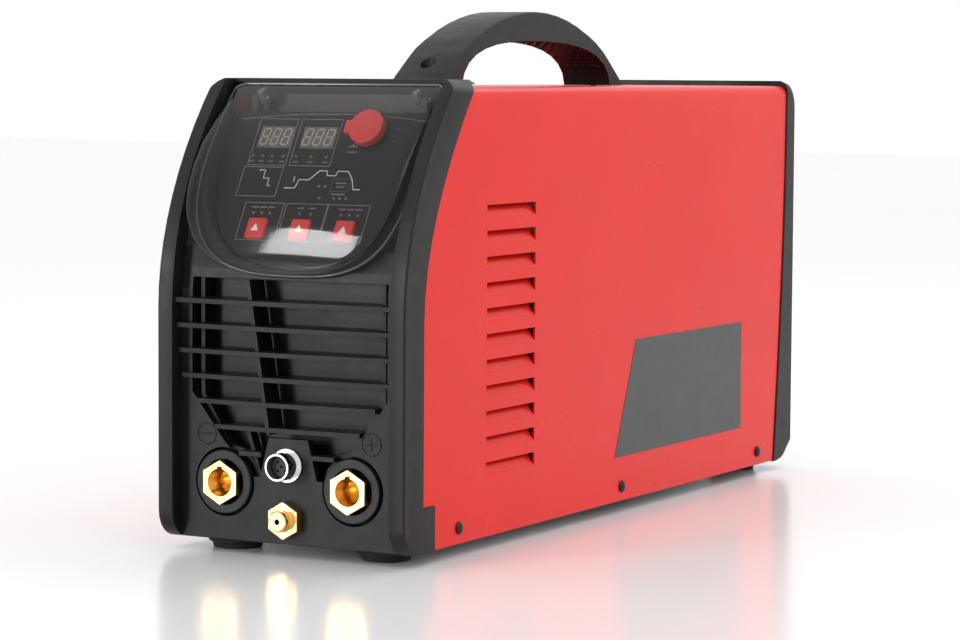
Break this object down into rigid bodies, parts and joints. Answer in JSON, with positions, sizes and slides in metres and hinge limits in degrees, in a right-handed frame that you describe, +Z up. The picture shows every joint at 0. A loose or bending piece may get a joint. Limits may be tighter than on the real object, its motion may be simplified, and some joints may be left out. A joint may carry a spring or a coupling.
{
  "type": "tig welding machine",
  "caption": "Portable inverter TIG welding power source: sheet steel cover, plastic front with flip-up visor, output sockets, grille and carrying handle.",
  "frame": {"origin": "centre of the footprint, on the surface the feet stand on", "axes": "+Z up, -Y towards the front with the controls and sockets, +X to the right seen from the front"},
  "size_m": [0.1664, 0.551, 0.3138],
  "materials": {
    "aluminium": "extruded",
    "black_moulding": "moulded",
    "black_plastic": "fine spark-eroded texture",
    "black_screw": "black oxide",
    "brass": "machined",
    "capacitor_sleeve": "shrink sleeve",
    "chrome": "bright plated",
    "circuit_board": "solder resist",
    "copper": "enamelled copper wire",
    "display_window": "glossy window",
    "ferrite": "sintered ferrite",
    "hose": "smooth",
    "panel_foil": "printed satin foil",
    "red_paint": "smooth semi-gloss powder coat",
    "red_plastic": "moulded satin",
    "rubber": "matt",
    "smoked_clear": "clear smoked polycarbonate",
    "steel": "zinc plated"
  },
  "bodies": {
    "casing": {"base_tray": "steel", "cable_gland": "black_moulding", "capacitor_left": "capacitor_sleeve", "capacitor_right": "capacitor_sleeve", "control_board": "circuit_board", "control_connector_insert": "black_moulding", "control_connector_shell": "chrome", "control_panel": "panel_foil", "display_left": "display_window", "display_right": "display_window", "earth_stud": "brass", "encoder_body": "steel", "fan_frame": "black_moulding", "fan_guard": "steel", "foot_front_left": "rubber", "foot_front_right": "rubber", "foot_rear_left": "rubber", "foot_rear_right": "rubber", "front_bezel": "black_plastic", "front_grille": "black_plastic", "front_plate": "black_screw", "gas_hose": "hose", "gas_inlet_fitting": "brass", "gas_outlet_fitting": "brass", "handle": "black_plastic", "handle_screw_front": "steel", "handle_screw_rear": "steel", "heatsink_left": "aluminium", "heatsink_right": "aluminium", "negative_socket_flange": "black_moulding", "negative_socket_insert": "brass", "output_choke": "copper", "positive_socket_flange": "black_moulding", "positive_socket_insert": "brass", "power_board": "circuit_board", "power_switch_housing": "black_moulding", "rear_bezel": "black_plastic", "rear_panel": "steel", "side_screw_left_front": "black_screw", "side_screw_left_middle": "black_screw", "side_screw_left_rear": "black_screw", "side_screw_right_front": "black_screw", "side_screw_right_middle": "black_screw", "side_screw_right_rear": "black_screw", "solenoid_valve": "brass", "top_cover": "red_paint", "transformer_core": "ferrite", "transformer_winding": "copper", "visor_pin_left": "steel", "visor_pin_right": "steel"},
    "visor": {"visor": "smoked_clear"},
    "button_left": {"button_left": "red_plastic"},
    "button_middle": {"button_middle": "red_plastic"},
    "button_right": {"button_right": "red_plastic"},
    "encoder_shaft": {"encoder_shaft": "steel"},
    "encoder_knob": {"encoder_knob": "red_plastic"},
    "power_switch_rocker": {"power_switch_rocker": "red_plastic"},
    "fan_rotor": {"fan_rotor": "black_moulding"}
  },
  "joints": [
    {"name": "visor_hinge", "type": "hinge", "parent": "casing", "child": "visor", "pos_m": [0, -0.206, 0.26], "axis": [-1, 0, 0], "range_deg": [0, 70]},
    {"name": "button_left_press", "type": "slide", "parent": "casing", "child": "button_left", "axis": [0, 0.866, -0.5], "range_m": [0, 0.0008], "stiffness_N_per_m": 600},
    {"name": "button_middle_press", "type": "slide", "parent": "casing", "child": "button_middle", "axis": [0, 0.866, -0.5], "range_m": [0, 0.0008], "stiffness_N_per_m": 600},
    {"name": "button_right_press", "type": "slide", "parent": "casing", "child": "button_right", "axis": [0, 0.866, -0.5], "range_m": [0, 0.0008], "stiffness_N_per_m": 600},
    {"name": "encoder_push", "type": "slide", "parent": "casing", "child": "encoder_shaft", "axis": [0, 0.866, -0.5], "range_m": [0, 0.0005], "stiffness_N_per_m": 900},
    {"name": "encoder_turn", "type": "hinge", "parent": "encoder_shaft", "child": "encoder_knob", "pos_m": [0.0264, -0.2174, 0.24203], "axis": [0, -0.866, 0.5], "continuous": true},
    {"name": "power_switch_rock", "type": "hinge", "parent": "casing", "child": "power_switch_rocker", "pos_m": [-0.04, 0.261, 0.07], "axis": [1, 0, 0], "range_deg": [-18, 0]},
    {"name": "fan_spin", "type": "hinge", "parent": "casing", "child": "fan_rotor", "pos_m": [0, 0.2475, 0.165], "axis": [0, 1, 0], "continuous": true}
  ]
}
